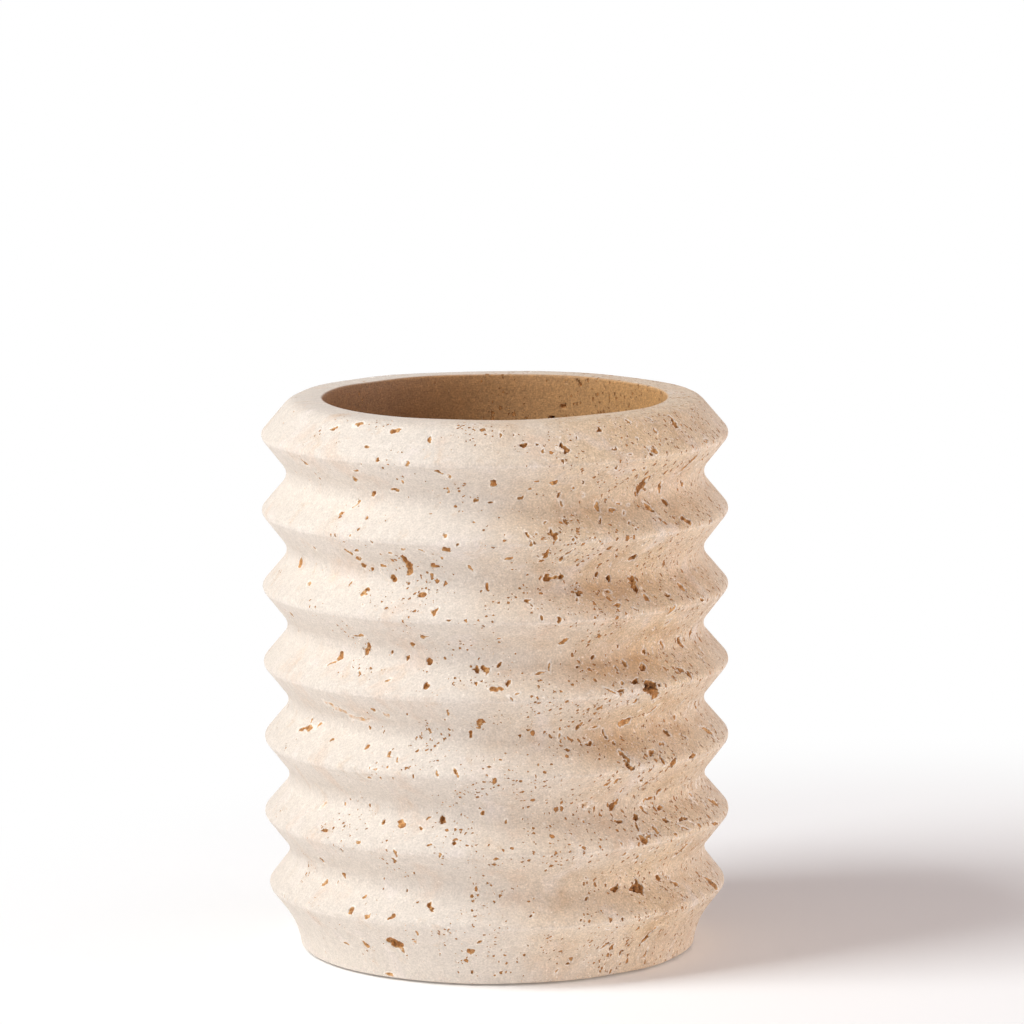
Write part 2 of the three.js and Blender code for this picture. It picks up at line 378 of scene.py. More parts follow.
above_fifth_ridge = [
    (-35.3, 47.9, 0.5, 1.4, 20), (-36.6, 46.2, 0.7, 2.2, 58), (-33.6, 47.5, 0.5, 1.6, 40),
    (-31.2, 45.5, 0.5, 0.9, 70), (-24.6, 45.4, 0.8, 1.1, 40), (-20.2, 44.8, 1.0, 1.4, 20),
    (-18.7, 44.0, 0.3, 1.1, -25), (-23.0, 41.9, 0.4, 1.0, 80), (-7.7, 42.4, 0.6, 2.1, -35),
    (-11.3, 42.4, 0.5, 1.5, -20), (-12.4, 47.5, 0.5, 0.7, 0), (4.4, 48.7, 0.5, 0.7, 30),
    (11.7, 48.0, 0.4, 1.2, 5), (20.4, 47.7, 0.5, 1.7, -15), (17.7, 46.4, 0.8, 0.9, 0),
    (22.1, 46.2, 0.6, 0.6, 0), (24.2, 43.7, 0.7, 2.4, -30), (25.0, 42.2, 1.0, 2.4, -38),
    (32.4, 46.2, 0.5, 1.2, -25), (35.6, 45.0, 0.4, 1.2, -35), (31.4, 44.7, 0.5, 1.0, 80),
    (29.2, 43.8, 0.7, 1.2, 80), (31.5, 42.1, 0.5, 1.8, -10), (33.4, 41.1, 1.0, 1.4, 35),
    (37.2, 41.6, 0.6, 1.3, 80), (40.4, 44.5, 0.3, 2.0, -30),
]
under_fifth_ridge = [
    (-24.2, 40.0, 0.4, 1.1, 90), (-21.8, 40.2, 0.5, 0.6, 0), (-15.8, 41.0, 0.4, 1.0, 0),
    (20.9, 38.9, 0.7, 1.4, 60), (22.7, 39.0, 0.6, 1.1, 20), (30.8, 34.9, 0.6, 0.9, 60),
    (22.6, 34.4, 0.8, 1.5, 30), (-3.2, 34.6, 0.4, 0.7, 80),
]
above_sixth_ridge = [
    (-28.8, 33.2, 0.5, 0.8, 0), (-32.4, 28.7, 0.7, 0.8, 0), (-21.5, 31.3, 0.5, 1.0, 10),
    (-18.0, 31.4, 1.2, 1.5, -25), (-13.0, 32.6, 0.5, 1.2, 60), (-10.2, 32.6, 0.9, 1.1, 70),
    (-2.7, 33.9, 0.5, 0.8, 30), (1.5, 32.3, 0.5, 0.7, -30), (21.7, 33.5, 1.0, 1.7, 20),
    (22.8, 31.2, 0.7, 1.4, -45), (26.4, 31.1, 0.8, 1.3, 45), (26.6, 29.5, 0.4, 1.5, 0),
    (27.6, 27.6, 1.0, 1.9, -20), (28.7, 28.0, 0.4, 1.3, 60), (28.9, 33.8, 0.4, 2.0, 85),
    (28.0, 33.3, 0.4, 1.0, 0), (27.7, 32.2, 0.5, 1.7, -30), (31.1, 31.8, 0.8, 1.2, 70),
    (30.0, 28.9, 0.8, 1.7, -10), (32.2, 29.9, 0.5, 1.2, -50), (35.4, 29.4, 0.8, 1.4, 80),
    (36.0, 27.8, 0.4, 1.3, -50), (34.2, 26.9, 0.6, 0.8, -30), (38.8, 27.6, 0.6, 0.8, -30),
    (41.8, 29.6, 0.4, 1.4, -25), (42.0, 26.6, 0.4, 2.0, -50), (-26.4, 27.6, 0.5, 0.9, 85),
    (-12.7, 28.3, 0.7, 1.0, 70), (-10.7, 26.5, 0.7, 0.9, 0), (16.3, 31.6, 0.5, 0.5, 0),
    (37.2, 32.2, 0.4, 1.0, -30),
]
under_sixth_ridge = [
    (-19.2, 26.0, 0.5, 1.2, 0), (-19.4, 24.6, 0.6, 0.9, 0), (-33.5, 21.6, 0.7, 1.0, -50),
    (35.3, 23.2, 0.6, 2.6, 30), (-0.3, 25.8, 0.5, 0.9, 55), (24.0, 25.0, 0.5, 0.7, 40),
    (26.6, 23.8, 0.4, 1.0, 40),
]
above_lowest_ridge = [
    (-33.0, 17.0, 0.8, 1.4, 0), (-29.1, 19.5, 0.5, 1.0, -30), (30.6, 18.3, 0.9, 1.5, -10),
    (22.2, 17.9, 1.0, 1.3, 85), (26.5, 17.5, 1.5, 2.2, 80), (26.4, 18.7, 0.6, 1.2, 0),
    (27.4, 16.8, 0.8, 1.1, -30), (25.5, 17.2, 0.6, 0.9, 60), (33.9, 16.6, 0.5, 1.0, -30),
    (41.4, 14.3, 0.6, 2.8, -20), (-12.5, 16.0, 0.8, 1.5, -25), (-25.2, 16.3, 0.7, 0.8, 0),
    (-24.6, 13.4, 0.8, 0.9, 60), (-27.8, 13.8, 0.9, 1.3, -30), (-20.0, 13.7, 0.8, 1.5, 40),
    (-4.9, 18.0, 0.5, 0.5, 0), (23.5, 12.6, 0.5, 0.7, 0),
]
on_the_foot = [
    (-9.3, 11.8, 0.5, 1.3, 15), (-19.1, 7.9, 1.8, 2.3, -30), (-20.4, 8.6, 1.0, 1.4, 60),
    (-18.3, 6.6, 0.6, 1.7, -40), (-25.1, 6.7, 0.9, 1.7, -30), (-28.8, 6.0, 0.4, 1.4, -75),
    (-15.6, 8.7, 0.6, 0.9, 60), (-15.2, 11.0, 0.6, 1.1, 0), (-3.4, 9.3, 0.4, 1.3, 60),
    (-5.1, 7.3, 0.8, 1.2, 50), (-4.7, 2.8, 0.7, 0.8, 0), (11.1, 2.4, 0.5, 0.9, 30),
    (28.2, 6.7, 0.8, 1.5, 25), (29.3, 8.2, 0.4, 1.9, 45), (20.4, 6.9, 0.5, 1.7, 45),
    (21.7, 6.4, 0.5, 1.1, 30), (23.4, 4.7, 0.4, 1.1, 0), (28.4, 3.7, 0.3, 1.6, 5),
    (-20.6, 1.0, 0.6, 1.6, 90),
]
front_pits = (
    above_top_ridge + under_top_ridge + above_second_ridge + under_second_ridge + above_third_ridge
    + under_third_ridge + above_fourth_ridge + under_fourth_ridge + above_fifth_ridge + under_fifth_ridge
    + above_sixth_ridge + under_sixth_ridge + above_lowest_ridge + on_the_foot
)
stain_depth = 0.1
faint_stains = [
    (-29.9, 51.8, 1.1, 5.6, -62), (-25.6, 50.4, 0.9, 4.2, 88), (-20.8, 52.3, 0.9, 2.2, -50),
    (16.5, 34.8, 1.3, 2.9, 90), (-33.0, 32.0, 0.8, 2.0, 20),
]
print(f"{len(front_pits)} pits and {len(faint_stains)} stains chosen for the front")

# %% The rows of the outside
stretches_inside = 5  # the rim's land, the lip, the well's wall, its corner and its floor
recess_length = recess_radius + recess_depth
outside_length = sum(stretch["length"] for stretch in outline[len(recess) : -stretches_inside])
outside_ends = [recess_length, recess_length + outside_length]
first_outside_row, last_outside_row = np.searchsorted(row_along, outside_ends)
outside_height = row_height[first_outside_row:last_outside_row]
print(f"outside rows {first_outside_row} to {last_outside_row}")

# %% Bring the chosen pits onto the surface
camera_pitch = math.radians(8.703)
drawn_larger = 1.1
least_breadth = 0.45
deepest_chosen = 1.3


def pits_on_front(listed, depth):
    """Brings chosen pits from the front view onto the surface. The row is the one at that height and the
    angle is asin(mm to the right / radius). A length seen aslant is drawn out again: across by
    1 / cos(angle), and up by 1 / (normal's r * cos(pitch) + normal's z * sin(pitch) * cos(angle))."""
    right, up, breadth, length, lean = np.array(listed, float).T
    lean = np.radians(lean)
    row = first_outside_row + np.abs(outside_height - up[:, None]).argmin(axis=1)
    angle = np.arcsin(right / row_radius[row])
    normal_r, normal_z = outward[row].T
    seen = normal_r * math.cos(camera_pitch) + normal_z * math.sin(camera_pitch) * np.cos(angle)
    across = length * np.sin(lean) / np.cos(angle)
    along = length * np.cos(lean) / seen
    broad = breadth * np.hypot(np.cos(lean) / np.cos(angle), np.sin(lean) / seen)
    broad = drawn_larger * np.maximum(broad, least_breadth)
    long = drawn_larger * np.hypot(across, along)
    lean = np.arctan2(across, along)
    return np.stack([angle, row_along[row], broad, long, lean, depth + 0 * right], axis=1)


# Pits of the brown side are deeper.
front_right, _, front_breadth = np.array(front_pits)[:, :3].T
chosen_depth = 0.2 + 0.5 * front_breadth
chosen_depth *= np.interp(front_right, (-35, -5, 20), (0.6, 0.8, 1))
chosen_depth *= np.random.default_rng(21).uniform(0.5, 1.2, len(front_pits))
chosen_depth = chosen_depth.clip(max=deepest_chosen)
chosen = pits_on_front(front_pits, chosen_depth)
stains = pits_on_front(faint_stains, stain_depth)
print(f"chosen pits are {chosen_depth.min():.2f} to {chosen_depth.max():.2f} mm deep")

# %% Scattered pits
bed_places = (-38, -33, -24, -16, -7, 3, 12, 21, 30, 37)  # mm behind the axis
bed_spread = 1.8
lone_chance = 0.04
bed_chance = 0.17
patchiness = 0.9
patch_length = 14
scattered_tries = 5300
front_reach = math.radians(75)
more_in_well = 0.3
more_on_right = 0.6


def scattered_pits(rng):
    """Pits at random places on the stone. A try is kept with a chance of radius / widest radius *
    (lone chance + bed chance * exp(-(distance to a bed / spread)^2)) * exp(patchiness * slow random field), a
    little more in the well and on the right. Where the chosen pits are, only small ones are added. Returns
    rows of angle, distance along the profile, breadth, length, lean and depth."""
    row = rng.integers(1, len(rows) - 1, scattered_tries)
    angle = rng.uniform(-np.pi, np.pi, scattered_tries)
    radius, height = row_radius[row], row_height[row]
    share = radius / row_radius.max()
    place = np.stack([radius * np.sin(angle), -radius * np.cos(angle), height], -1)
    nearness = np.abs(place[:, 1, None] - np.array(bed_places)).min(axis=1)
    patches = ripple((place * np.array([1, 0.6, 0.5])).astype(np.float32), patch_length, seed=11)
    chance = lone_chance + bed_chance * np.exp(-((nearness / bed_spread) ** 2))
    chance = share * chance * np.exp(patchiness * patches)
    in_well = 1 + more_in_well * (row > last_outside_row)
    on_right = 1 + place[:, 0] / ridge_radius * more_on_right
    kept = rng.random(scattered_tries) < chance * in_well * on_right
    on_front = (row > first_outside_row) & (row < last_outside_row) & (np.abs(angle) < front_reach)
    small = rng.uniform(0.42, 0.75, scattered_tries)
    any_size = 0.5 + rng.exponential(0.4, scattered_tries)
    size = np.where(on_front, small, any_size)
    sideways = np.abs(np.sin(angle))
    breadth = size * (1 - 0.35 * sideways) * rng.uniform(0.6, 1.1, scattered_tries)
    length = size * (1 + 0.6 * sideways) * rng.uniform(0.8, 1.5, scattered_tries)
    lean = rng.normal(0, 0.6, scattered_tries)
    depth = np.minimum(breadth, length) * rng.uniform(0.5, 1.0, scattered_tries)
    return np.stack([angle, row_along[row], breadth, length, lean, depth], axis=1)[kept]


pits = np.concatenate([chosen, stains, scattered_pits(np.random.default_rng(7))])
print(f"{len(pits)} pits in all")


# %% Cut the pits into a depth map
raggedness = 0.17
edge_reach = 0.3
bowl_power = 0.35
inner_roughness = 0.3
window_share = 0.7  # of a pit's size: half of it, and room for the ragged outline


def carved(pits):
    """The depth of every lattice point, and minus its distance to the nearest pit's edge, up to edge_reach. A
    bowl is depth * (1 - rho^2)^bowl_power, where rho is the distance from its centre in shares of its half
    breadth and half length, after the waves have shifted the point. Beyond the edge the distance is
    (rho - 1) * size / 2. Where pits meet, the deeper one counts. Near the axis, where the columns crowd, no
    pit is cut."""
    depth = np.zeros(untouched.shape[:2], np.float32)
    edge = np.full_like(depth, -edge_reach)
    for angle, along, breadth, length, lean, deep in pits:
        reach = window_share * max(breadth, length) + edge_reach
        first, last = np.searchsorted(row_along, [along - reach, along + reach])
        radius = row_radius[first:last]
        if len(radius) == 0 or radius.min() < 2 * reach:
            continue
        ends = angle + np.pi + np.array([-1, 1]) * reach / radius.min()
        columns = np.arange(*np.round(ends * column_count / (2 * np.pi)).astype(int))
        window = np.ix_(np.arange(first, last), columns % column_count)
        across = (columns * 2 * np.pi / column_count - np.pi - angle) * radius[:, None]
        up = (row_along[first:last] - along)[:, None]
        size = min(breadth, length)
        across = across + raggedness * min(size, 1) * warp_across[window]
        up = up + raggedness * min(size, 1) * warp_along[window]
        side = (across * math.cos(lean) - up * math.sin(lean)) / (breadth / 2)
        end = (across * math.sin(lean) + up * math.cos(lean)) / (length / 2)
        rho = np.hypot(side, end)
        if deep > stain_depth:
            edge[window] = np.maximum(edge[window], (1 - rho) * size / 2)
        bowl = (1 - rho**2).clip(0) ** bowl_power
        cut = deep * bowl * (1 + inner_roughness * roughness_inside[window])
        depth[window] = np.maximum(depth[window], cut)
    return depth, edge


pit_depth, pit_edge = carved(pits)
hollow = np.where(pit_depth > 0, pit_depth, pit_edge.clip(max=0))
print(f"pits cover {100 * (pit_depth > 0).mean():.1f}% of the lattice, down to {pit_depth.max():.1f} mm")

# %% [markdown]
# ## A mesh that is fine only at the pits
#
# A quarter-millimetre mesh of the whole cup would have over two million triangles, nearly all of them on
# plain stone. Instead each block starts as one face of 8 columns and is halved wherever the depth map changes
# within it, down to single lattice cells on the pits' walls. Neighbours may differ by one halving only. Where
# a large face meets two smaller ones, it takes their shared corner into its own outline, so that the skin has
# no cracks. All of this is done on whole arrays.

# %% Choose the faces
change_allowed = (0.12, 0.06, 0.04)


def groups_of_rows(level):
    """How many lattice rows one face of that level spans, for each face up the profile. Level 3 is a whole
    block."""
    spans = np.maximum(block_rows >> (3 - level), 1)
    return np.repeat(spans, block_rows // spans)


def gathered(cells, level, how):
    """Brings a map of lattice cells down to faces of a level, by np.maximum, np.minimum or np.logical_or."""
    starts = np.append(0, np.cumsum(groups_of_rows(level))[:-1])
    by_rows = how.reduceat(cells, starts, axis=0)
    return how.reduce(by_rows.reshape(len(starts), -1, 2**level), axis=2)


def spread_out(faces, level):
    """Brings a map of a level's faces back to lattice cells."""
    return np.repeat(np.repeat(faces, groups_of_rows(level), axis=0), 2**level, axis=1)


def widened(faces):
    """Marks the faces beside the marked ones too, with the columns going round."""
    wide = faces | np.roll(faces, 1, axis=1) | np.roll(faces, -1, axis=1)
    wide[1:] |= wide[:-1].copy()
    wide[:-1] |= wide[1:].copy()
    return wide


def levels_of(depth):
    """The level of the face that covers each lattice cell, from 3, a whole block, to 0, one cell."""
    beside = np.roll(depth, -1, axis=1)
    corners = np.stack([depth[:-1], depth[1:], beside[:-1], beside[1:]])
    highest, lowest = corners.max(axis=0), corners.min(axis=0)
    level = np.full(highest.shape, 3, np.int8)
    forced = np.zeros(highest.shape, bool)
    for coarse in (1, 2, 3):
        change = gathered(highest, coarse, np.maximum) - gathered(lowest, coarse, np.minimum)
        split = (change > change_allowed[coarse - 1]) | gathered(forced, coarse, np.logical_or)
        level -= spread_out(split, coarse)
        forced = spread_out(widened(split), coarse)
    return level


face_level = levels_of(pit_depth)
print("share of the cells at levels 0 to 3:", [round(float((face_level == k).mean()), 3) for k in range(4)])


# %% Turn the faces into corner lists
def faces_of(level_map):
    """Every face as 8 places round it: 4 corners, and after each the middle of the side that follows, with -1
    where a side has no middle. A place is row * (column_count + 1) + column."""
    found = []
    for level in range(4):
        spans = groups_of_rows(level)
        starts = np.append(0, np.cumsum(spans)[:-1])
        here, column = np.nonzero(level_map[starts][:, :: 2**level] == level)
        row, span, column = starts[here], spans[here], column * 2**level
        low, high, left, right = row, row + span, column, column + 2**level
        middle_row = np.where(span > 1, row + span // 2, -1)
        middle_column = np.full(len(row), -1) if level == 0 else column + 2 ** (level - 1)
        ring = [(low, left), (low, middle_column), (low, right), (middle_row, right),
                (high, right), (high, middle_column), (high, left), (middle_row, left)]
        width = column_count + 1
        found.append(np.stack([np.where((r < 0) | (c < 0), -1, r * width + c) for r, c in ring], axis=1))
    return np.concatenate(found)


ring = faces_of(face_level)
ring_row, ring_column = np.divmod(ring, column_count + 1)
point = np.where(ring < 0, -1, ring_row * column_count + ring_column % column_count)

# The first and the last row lie on the axis, so all their columns are one point.
last_row = len(rows) - 1
point = np.where(ring_row == last_row, last_row * column_count, point)
point = np.where((ring_row == 0) & (ring >= 0), 0, point)

is_corner = np.zeros(len(rows) * column_count, bool)
is_corner[point[:, ::2]] = True
wanted = (ring >= 0) & is_corner[point]
wanted[:, ::2] = True
wanted[:, 1:3] &= (ring_row[:, 1:3] > 0)
wanted[:, 5:7] &= (ring_row[:, 5:7] < last_row)
print(f"{len(ring)} faces, {int(wanted.sum() - 2 * len(ring))} triangles")


# %% Make the stone's mesh
def stone_mesh(name, points, kept_values):
    """Keeps the lattice points that a face names and numbers them anew. Each face's corners follow in one
    long list, and the map for the surface is angle across and distance along the profile up. kept_values are
    maps over the lattice that the finish reads, by name."""
    used = np.unique(point[wanted])
    number = np.full(len(rows) * column_count, -1)
    number[used] = np.arange(len(used))
    mesh = bpy.data.meshes.new(name)
    mesh.vertices.add(len(used))
    mesh.vertices.foreach_set("co", (points.reshape(-1, 3)[used] * MM).astype(np.float32).ravel())
    sizes = wanted.sum(axis=1)
    mesh.loops.add(int(sizes.sum()))
    mesh.loops.foreach_set("vertex_index", number[point[wanted]].astype(np.int32))
    mesh.polygons.add(len(sizes))
    mesh.polygons.foreach_set("loop_start", np.append(0, np.cumsum(sizes)[:-1]).astype(np.int32))
    mesh.update(calc_edges=True)
    turned = mesh.uv_layers.new(name="OFBake")
    flat = np.stack([ring_column[wanted] / column_count, row_along[ring_row[wanted]] / row_along[-1]], axis=1)
    turned.data.foreach_set("uv", flat.astype(np.float32).ravel())
    for title, values in kept_values.items():
        kept = mesh.attributes.new(title, "FLOAT", "POINT")
        kept.data.foreach_set("value", values.reshape(-1)[used].astype(np.float32))
    mesh.shade_smooth()
    mesh.set_sharp_from_angle(angle=math.radians(38))
    return mesh


# %% Lay the stone's skin over the lattice
def in_scene(name, data):
    """A new object with that data, linked into the scene."""
    made = bpy.data.objects.new(name, data)
    bpy.context.scene.collection.objects.link(made)
    return made


# A painted highlight lies a little paler just under the top of each ridge:
# exp(-((z of the normal - tilt) / spread)^2).
crest_tilt = -0.35
crest_spread = 0.25
waviness = 0.05 * ripple(untouched, wavelength=22, seed=5)
stone_points = placed(pit_depth + waviness)
on_ridge = row_radius > ridge_radius - lowest_ridge_loss - ridge_rounding
crest_highlight = on_ridge * np.exp(-(((outward[:, 1] - crest_tilt) / crest_spread) ** 2))
kept_values = {
    "hollow": hollow,
    "crest_highlight": crest_highlight[:, None] + 0 * hollow,
    "facing_up": outward[:, 1:] + 0 * hollow,
}
stone = in_scene("travertine_cup", stone_mesh("travertine_cup", stone_points, kept_values))
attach(stone, "root")
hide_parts("stone_cup")
print(f"stone: {len(stone.data.vertices)} vertices, {len(stone.data.polygons)} faces")

# %% [markdown]
# ## Finishes
#
# A material is a small network of nodes. Three helpers are enough: one turns a colour from the usual hex
# form, which is coded for screens, into the linear numbers that light is computed with, one makes a material
# with an empty network, and one adds a node, sets it and links its inputs.


# %% Three helpers for materials
def linear(hex_colour):
    """sRGB hex to linear: c / 12.92 below 0.04045, else ((c + 0.055) / 1.055) ^ 2.4, for each channel."""
    channels = [int(hex_colour[i : i + 2], 16) / 255 for i in (1, 3, 5)]
    return tuple(c / 12.92 if c < 0.04045 else ((c + 0.055) / 1.055) ** 2.4 for c in channels) + (1.0,)


def empty_material(name):
    """A new material and its network, with the nodes that Blender puts in taken out."""
    material = bpy.data.materials.new(name)
    material.use_nodes = True
    material.node_tree.nodes.clear()
    return material, material.node_tree


def add(tree, kind, inputs=None, out=0, **settings):
    """Adds a node, whose kind is its type without ShaderNode in front, and returns one of its outputs, the
    first unless out names another. settings are the node's properties. inputs maps a socket's name or number
    to a value or to an output to be linked."""
    node = tree.nodes.new("ShaderNode" + kind)
    for name, value in settings.items():
        setattr(node, name, value)
    for name, value in (inputs or {}).items():
        if isinstance(value, bpy.types.NodeSocket):
            tree.links.new(value, node.inputs[name])
        else:
            node.inputs[name].default_value = value
    return node.outputs[out] if node.outputs else node


# %% [markdown]
# ### Travertine
#
# Travertine is calcium carbonate, laid down in beds by hot springs. Its index of refraction is about 1.56,
# and honing leaves it matt. The eye sees warm clouds one or two centimetres wide, streaks where the beds run
# out at the sides, a fine mottle and grain, and a rusty brown inside every pit, where iron has stained the
# walls. Deeper in a pit the brown darkens, partly as stain and partly as painted shade. A painted highlight
# lies just outside each pit's edge and just under the top of each ridge. The stone grows browner to the
# right, the side turned from the key lamp, which is partly its own colour and partly painted shade. On the
# flanks there it is browner still in one heart, and more where a flank faces up, which is painted shade.
# The clouds and the smallest pits are drawn in the finish. The larger pits are real holes, and the map of
# their depth is kept on the mesh for the stain.
# The finish could be a picture wrapped round the cup, but noise that reads the place in the stone has no seam
# and stays sharp from close by.


# %% Places on the stone
smooth = {"interpolation_type": "SMOOTHSTEP"}
mixes_colours = {"out": 2, "data_type": "RGBA"}  # between sockets 6 and 7, by the share in socket 0


def places_on_stone(tree):
    """Sockets by name: the place in millimetres, the same squeezed along the beds, the distance to the right,
    behind and up, and the distance from the axis, which is the length of (x, y, 0)."""
    place = add(tree, "TexCoord", out="Object")
    in_mm = add(tree, "Mapping", {"Vector": place, "Scale": (1000, 1000, 1000)})
    bedded = add(tree, "Mapping", {"Vector": in_mm, "Scale": (1, 1.7, 0.8)})
    right = add(tree, "SeparateXYZ", {0: in_mm})
    level = add(tree, "VectorMath", {0: in_mm, 1: (1, 1, 0)}, operation="MULTIPLY")
    from_axis = add(tree, "VectorMath", {0: level}, out="Value", operation="LENGTH")
    return {
        "in_mm": in_mm,
        "bedded": bedded,
        "right": right,
        "behind": right.node.outputs["Y"],
        "height": right.node.outputs["Z"],
        "from_axis": from_axis,
    }


# %% Pale and brown, the brown partly painted shade, with clouds
clouds = [  # width in mm, the noise values where it starts and where it is full, its greatest share, colour
    (15, 0.52, 0.68, 0.35, "#D1B39B"),
    (9, 0.54, 0.70, 0.45, "#DDD1C9"),
    (5, 0.57, 0.72, 0.35, "#C8AA8A"),
]
cloud_width = 22
patch_width = 7


def brown_side_shade_and_clouds(tree, at):
    """Browner = a smooth step of (right + 0.08 * height + 40 * noise), less behind the cup. It grows to the
    right, the side turned from the key lamp, and is partly the stone's own colour and partly painted shade.
    Colour = pale to brown by browner, with each cloud mixed in where its own noise is high, and tan patches
    where it is brown. Returns the colour and browner."""
    cloud = {"Vector": at["bedded"], "Scale": 1 / cloud_width, "Detail": 4, "Distortion": 0.6}
    drift = add(tree, "TexNoise", cloud)
    leaning = add(tree, "Math", {0: at["height"], 1: 0.08, 2: at["right"]}, operation="MULTIPLY_ADD")
    drift = add(tree, "Math", {0: drift, 1: 40, 2: leaning}, operation="MULTIPLY_ADD")
    # browner: partly the stone's own colour, partly painted shade on the side turned from the key lamp
    browner = add(tree, "MapRange", {"Value": drift, "From Min": 13, "From Max": 66}, **smooth)
    behind = {"Value": at["behind"], "From Min": -30, "From Max": -8, "To Min": 1, "To Max": 0.55}
    behind = add(tree, "MapRange", behind)
    browner = add(tree, "Math", {0: browner, 1: behind}, operation="MULTIPLY")
    colour = add(tree, "Mix", {0: browner, 6: linear("#D3C8BC"), 7: linear("#D1B694")}, **mixes_colours)
    for width, start, full, most, tint in clouds:
        cloud = {"Vector": at["bedded"], "Scale": 1 / width, "Detail": 5, "Distortion": 0.5}
        cloud = add(tree, "TexNoise", {**cloud, "Roughness": 0.6})
        share = {"Value": cloud, "From Min": start, "From Max": full, "To Max": most}
        share = add(tree, "MapRange", share, **smooth)
        colour = add(tree, "Mix", {0: share, 6: colour, 7: linear(tint)}, **mixes_colours)
    patch = {"Vector": at["in_mm"], "Scale": 1 / patch_width, "Detail": 4, "Roughness": 0.6}
    patch = add(tree, "TexNoise", patch)
    patch = add(tree, "MapRange", {"Value": patch, "From Min": 0.52, "From Max": 0.7, "To Max": 0.7})
    patch = add(tree, "Math", {0: patch, 1: browner}, operation="MULTIPLY")
    colour = add(tree, "Mix", {0: patch, 6: colour, 7: linear("#B58F68")}, **mixes_colours)
    return colour, browner


# %% The small pits
small_pits = [(0.7, 0.52), (1.05, 0.50), (1.8, 0.40)]  # spacing in mm, greatest reach in spacings
least_reach = 0.1
small_deepest = 0.45
zone_width = 10


def small_pit_depth(tree, at):
    """Spots in cells: depth = (chance^2 * greatest reach * zone - least reach - distance to the cell's
    middle) * steepness. Chance and steepness differ from cell to cell, so that many cells stay empty. Outside
    a spot the value runs on below 0. Of the three sizes of cells the one with the deepest spot counts."""
    wobble = add(tree, "TexNoise", {"Vector": at["in_mm"], "Scale": 2.2, "Detail": 2}, out="Color")
    shaken = {0: wobble, 1: (0.8, 0.8, 0.8), 2: at["bedded"]}
    shaken = add(tree, "VectorMath", shaken, operation="MULTIPLY_ADD")
    zone = {"Vector": at["bedded"], "Scale": 1 / zone_width, "Detail": 3, "Roughness": 0.6}
    zone = add(tree, "TexNoise", zone)
    zone = add(tree, "Math", {0: at["right"], 1: 0.0034, 2: zone}, operation="MULTIPLY_ADD")
    zone = {"Value": zone, "From Min": 0.37, "From Max": 0.62, "To Min": 0.42, "To Max": 1.15}
    zone = add(tree, "MapRange", zone, **smooth)
    small = -1
    for spacing, reach in small_pits:
        cell = add(tree, "TexVoronoi", {"Vector": shaken, "Scale": 1 / spacing}, out="Color")
        drawn = add(tree, "SeparateColor", {0: cell})
        chance = add(tree, "Math", {0: drawn, 1: drawn}, operation="MULTIPLY")
        steep = {"Value": drawn.node.outputs["Green"], "To Min": 1.8 * spacing, "To Max": 5 * spacing}
        steep = add(tree, "MapRange", steep)
        reach = add(tree, "Math", {0: zone, 1: reach}, operation="MULTIPLY")
        reach = add(tree, "Math", {0: chance, 1: reach}, operation="MULTIPLY")
        apart = add(tree, "Math", {0: cell.node.outputs["Distance"], 1: least_reach}, operation="ADD")
        depth = add(tree, "Math", {0: reach, 1: apart}, operation="SUBTRACT")
        depth = add(tree, "Math", {0: depth, 1: steep}, operation="MULTIPLY")
        small = add(tree, "Math", {0: depth, 1: small}, operation="MAXIMUM")
    return add(tree, "Math", {0: small, 1: small_deepest}, operation="MINIMUM")


# %% Brown on the flanks with painted shade, painted highlights under the ridge tops and at the pits' edges
heart_right = 21
heart_height = 62
heart_half_breadth = 9
heart_half_length = 30


def flank_tint_shade_and_highlights(tree, at, colour, browner, hollow):
    """Three tints on top of each other. Brown = browner * how far the flank cuts in * nearness to the heart,
    which is an ellipse in the front view, * (0.6 + 0.6 * the z of the normal); this last factor is painted
    shade on the up-facing flanks. Painted highlight under the ridge tops = 0.24 * the mesh's crest_highlight
    attribute. Painted highlight at the pits' edges = a smooth step of hollow just outside each pit."""
    cut_in = {"Value": at["from_axis"], "From Min": ridge_radius, "From Max": groove_radius + 2}
    cut_in = add(tree, "MapRange", cut_in)
    cut_in = add(tree, "Math", {0: cut_in, 1: browner}, operation="MULTIPLY")
    flat = {"Vector": at["in_mm"], "Scale": (1 / heart_half_breadth, 0, 1 / heart_half_length)}
    flat = add(tree, "Mapping", flat)
    heart = {0: flat, 1: (heart_right / heart_half_breadth, 0, heart_height / heart_half_length)}
    heart = add(tree, "VectorMath", heart, out="Value", operation="DISTANCE")
    heart = {"Value": heart, "From Min": 1.3, "From Max": 0.2, "To Min": 0.2, "To Max": 1.0}
    heart = add(tree, "MapRange", heart, **smooth)
    brown = add(tree, "Math", {0: cut_in, 1: heart}, operation="MULTIPLY")
    # painted shade: the brown is stronger where a flank faces up and weaker where it faces down
    facing_up = add(tree, "Attribute", out="Fac", attribute_name="facing_up")
    facing_up = add(tree, "Math", {0: facing_up, 1: 0.6, 2: 0.6}, operation="MULTIPLY_ADD")
    brown = add(tree, "Math", {0: brown, 1: facing_up}, operation="MULTIPLY")
    # painted highlight, a little paler, just under the top of each ridge
    crest_highlight = add(tree, "Attribute", out="Fac", attribute_name="crest_highlight")
    crest_highlight = add(tree, "Math", {0: crest_highlight, 1: 0.24}, operation="MULTIPLY")
    # painted highlight: paler just outside each pit's edge
    edge = {"Value": hollow, "From Min": -0.26, "From Max": -0.03, "To Max": 0.65}
    edge = add(tree, "MapRange", edge, **smooth)
    for share, tint in ((brown, "#B4854E"), (crest_highlight, "#E6DCD3"), (edge, "#EEE4D9")):
        colour = add(tree, "Mix", {0: share, 6: colour, 7: linear(tint)}, **mixes_colours)
    return colour
